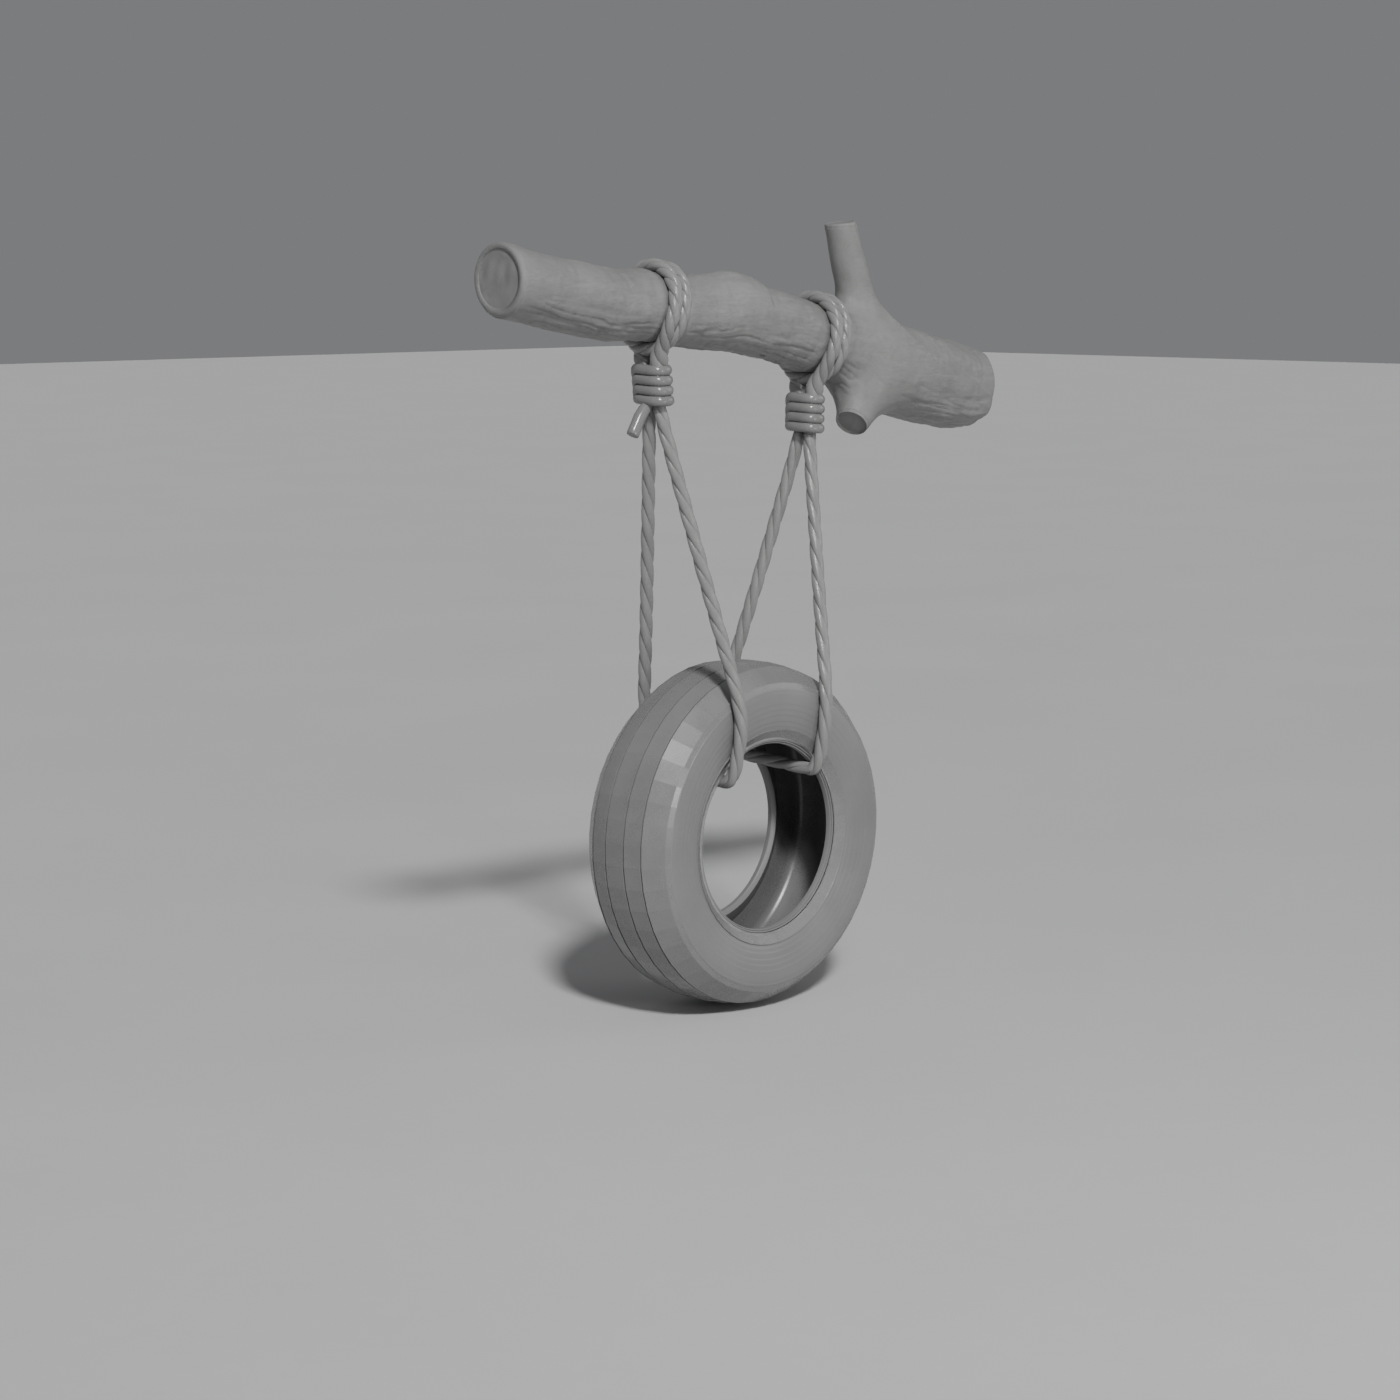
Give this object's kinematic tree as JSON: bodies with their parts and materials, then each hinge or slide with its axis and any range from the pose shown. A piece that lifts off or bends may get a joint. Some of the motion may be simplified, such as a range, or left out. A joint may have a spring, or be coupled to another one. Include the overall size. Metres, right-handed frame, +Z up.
{
  "type": "tyre swing",
  "caption": "Passenger tyre hung by two laid ropes, each passed under its beads, lashed and wound round a sawn tree limb with stubs.",
  "frame": {"origin": "centre of the limb's sawn butt face, where the limb is held", "axes": "+X out of the butt, so the limb runs along -X; +Z up; -Y is the front sidewall's side"},
  "size_m": [1.255, 0.2597, 1.4512],
  "materials": {
    "wood": "sawn end grain, weathered",
    "bark": "weathered smooth bark with long shallow furrows, satin",
    "rope": "three-strand laid rope, satin",
    "whipping_cord": "smooth tight cord, satin",
    "tyre_rubber": "weathered rubber, satin",
    "liner_rubber": "smooth liner rubber, semi-gloss",
    "filler_rubber": "hard rubber",
    "ply_cord": "rubbered cord ply",
    "belt_steel": "steel cord belt",
    "bead_wire": "bronzed bead wire"
  },
  "bodies": {
    "branch": {"limb_wood": "wood", "limb_bark": "bark"},
    "hanger": {"left_limb_tie": "rope", "right_limb_tie": "rope", "left_lashing": "whipping_cord", "right_lashing": "whipping_cord", "left_tail": "rope"},
    "cradle": {"left_front_leg": "rope", "left_back_leg": "rope", "right_front_leg": "rope", "right_back_leg": "rope", "left_sling": "rope", "right_sling": "rope"},
    "tyre": {"tread": "tyre_rubber", "front_sidewall": "tyre_rubber", "back_sidewall": "tyre_rubber", "upper_steel_belt": "belt_steel", "lower_steel_belt": "belt_steel", "carcass_ply": "ply_cord", "inner_liner": "liner_rubber", "front_bead_core": "bead_wire", "back_bead_core": "bead_wire", "front_bead_filler": "filler_rubber", "back_bead_filler": "filler_rubber"}
  },
  "joints": [
    {"name": "swing", "type": "hinge", "parent": "branch", "child": "hanger", "pos_m": [-0.887, 0, 0.166], "axis": [0.9894, 0, -0.1454], "range_deg": [-45, 45]},
    {"name": "twist", "type": "hinge", "parent": "hanger", "child": "cradle", "pos_m": [-0.67, 0, -0.801], "axis": [0, 0, 1], "range_deg": [-45, 45], "stiffness_Nm_per_rad": 3.4, "deforming": ["left_front_leg", "left_back_leg", "right_front_leg", "right_back_leg"]},
    {"name": "tyre_turn", "type": "hinge", "parent": "cradle", "child": "tyre", "pos_m": [-0.67, 0, -0.801], "axis": [0, 1, 0], "continuous": true}
  ]
}
